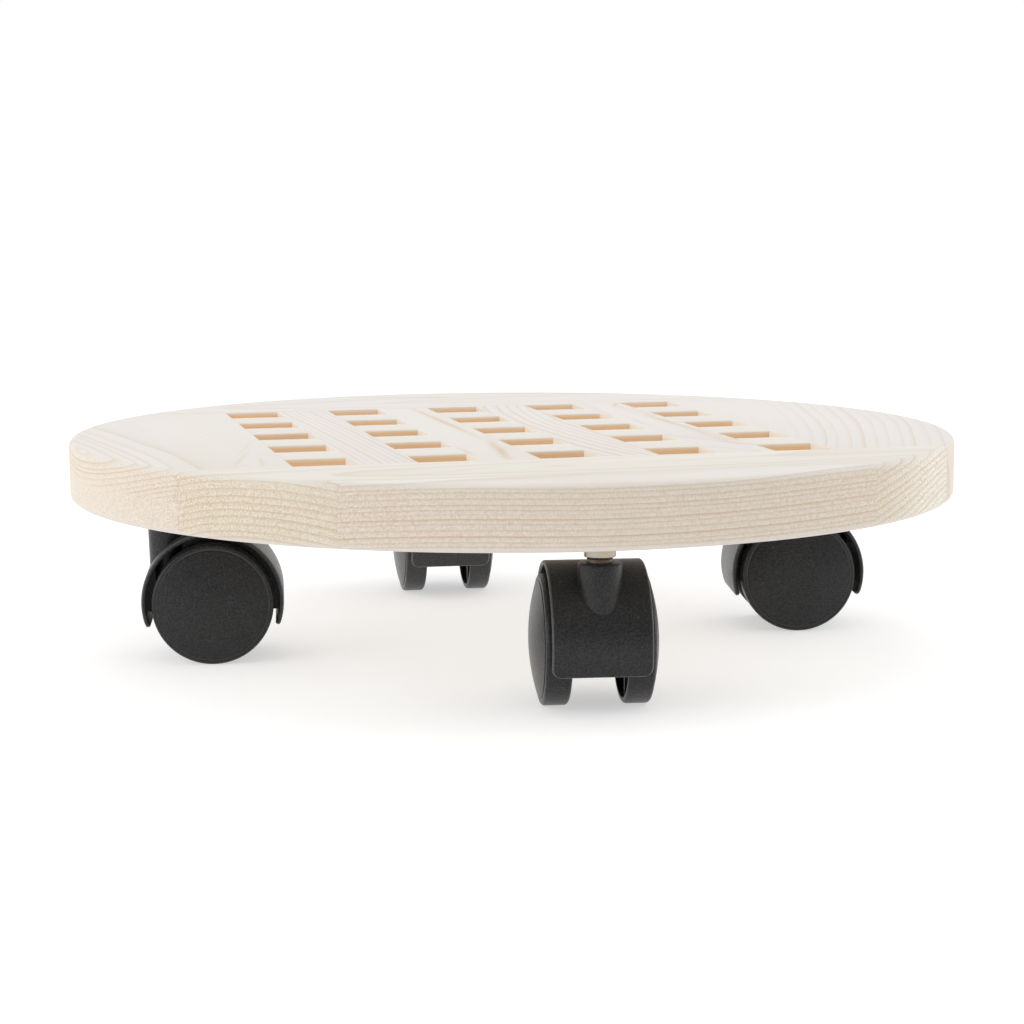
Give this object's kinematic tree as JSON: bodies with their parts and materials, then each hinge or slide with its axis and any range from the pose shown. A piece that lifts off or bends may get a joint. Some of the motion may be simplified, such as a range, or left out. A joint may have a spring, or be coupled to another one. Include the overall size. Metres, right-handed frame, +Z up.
{
  "type": "plant pot caddy",
  "caption": "Low round slatted wooden platform on swivelling twin-wheel casters, for rolling a heavy plant pot about.",
  "frame": {"origin": "on the floor under the centre of the round deck", "axes": "+Z up, the long slats run along Y, +Y points from the front rail to the back rail, +X to the right seen from the front"},
  "size_m": [0.3, 0.3, 0.0732],
  "materials": {
    "pine": "planed and sanded untreated pale pine, matte",
    "black_nylon": "moulded black nylon, fine matte texture",
    "zinc_steel": "turned steel, bright warm zinc plating"
  },
  "bodies": {
    "deck": {"back_rail_inner": "pine", "back_rail_outer": "pine", "back_stem_clip": "zinc_steel", "back_swivel_stem": "zinc_steel", "back_threaded_insert": "zinc_steel", "cross_slat_1": "pine", "cross_slat_2": "pine", "cross_slat_3": "pine", "cross_slat_4": "pine", "front_rail_inner": "pine", "front_rail_outer": "pine", "front_stem_clip": "zinc_steel", "front_swivel_stem": "zinc_steel", "front_threaded_insert": "zinc_steel", "left_side_board": "pine", "left_stem_clip": "zinc_steel", "left_swivel_stem": "zinc_steel", "left_threaded_insert": "zinc_steel", "long_slat_1": "pine", "long_slat_2": "pine", "long_slat_3": "pine", "long_slat_4": "pine", "right_side_board": "pine", "right_stem_clip": "zinc_steel", "right_swivel_stem": "zinc_steel", "right_threaded_insert": "zinc_steel"},
    "front_swivel": {"front_caster_housing": "black_nylon", "front_axle": "zinc_steel"},
    "front_wheel_near": {"front_wheel_near": "black_nylon"},
    "front_wheel_far": {"front_wheel_far": "black_nylon"},
    "right_swivel": {"right_caster_housing": "black_nylon", "right_axle": "zinc_steel"},
    "right_wheel_near": {"right_wheel_near": "black_nylon"},
    "right_wheel_far": {"right_wheel_far": "black_nylon"},
    "back_swivel": {"back_caster_housing": "black_nylon", "back_axle": "zinc_steel"},
    "back_wheel_near": {"back_wheel_near": "black_nylon"},
    "back_wheel_far": {"back_wheel_far": "black_nylon"},
    "left_swivel": {"left_caster_housing": "black_nylon", "left_axle": "zinc_steel"},
    "left_wheel_near": {"left_wheel_near": "black_nylon"},
    "left_wheel_far": {"left_wheel_far": "black_nylon"}
  },
  "joints": [
    {"name": "front_swivel_turn", "type": "hinge", "parent": "deck", "child": "front_swivel", "pos_m": [-0.0025, -0.1184, 0.0537], "axis": [0, 0, 1], "continuous": true},
    {"name": "front_wheel_near_roll", "type": "hinge", "parent": "front_swivel", "child": "front_wheel_near", "pos_m": [-0.0004, -0.10385, 0.02], "axis": [0.9898, -0.1426, 0], "continuous": true},
    {"name": "front_wheel_far_roll", "type": "hinge", "parent": "front_swivel", "child": "front_wheel_far", "pos_m": [-0.0004, -0.10385, 0.02], "axis": [0.9898, -0.1426, 0], "continuous": true},
    {"name": "right_swivel_turn", "type": "hinge", "parent": "deck", "child": "right_swivel", "pos_m": [0.1184, -0.0008, 0.0537], "axis": [0, 0, 1], "continuous": true},
    {"name": "right_wheel_near_roll", "type": "hinge", "parent": "right_swivel", "child": "right_wheel_near", "pos_m": [0.10398, 0.00206, 0.02], "axis": [0.1942, 0.981, 0], "continuous": true},
    {"name": "right_wheel_far_roll", "type": "hinge", "parent": "right_swivel", "child": "right_wheel_far", "pos_m": [0.10398, 0.00206, 0.02], "axis": [0.1942, 0.981, 0], "continuous": true},
    {"name": "back_swivel_turn", "type": "hinge", "parent": "deck", "child": "back_swivel", "pos_m": [-0.0014, 0.1184, 0.0537], "axis": [0, 0, 1], "continuous": true},
    {"name": "back_wheel_near_roll", "type": "hinge", "parent": "back_swivel", "child": "back_wheel_near", "pos_m": [-0.00253, 0.10374, 0.02], "axis": [-0.9971, 0.0767, 0], "continuous": true},
    {"name": "back_wheel_far_roll", "type": "hinge", "parent": "back_swivel", "child": "back_wheel_far", "pos_m": [-0.00253, 0.10374, 0.02], "axis": [-0.9971, 0.0767, 0], "continuous": true},
    {"name": "left_swivel_turn", "type": "hinge", "parent": "deck", "child": "left_swivel", "pos_m": [-0.1184, 0, 0.0537], "axis": [0, 0, 1], "continuous": true},
    {"name": "left_wheel_near_roll", "type": "hinge", "parent": "left_swivel", "child": "left_wheel_near", "pos_m": [-0.10384, -0.00205, 0.02], "axis": [-0.1392, -0.9903, 0], "continuous": true},
    {"name": "left_wheel_far_roll", "type": "hinge", "parent": "left_swivel", "child": "left_wheel_far", "pos_m": [-0.10384, -0.00205, 0.02], "axis": [-0.1392, -0.9903, 0], "continuous": true}
  ]
}
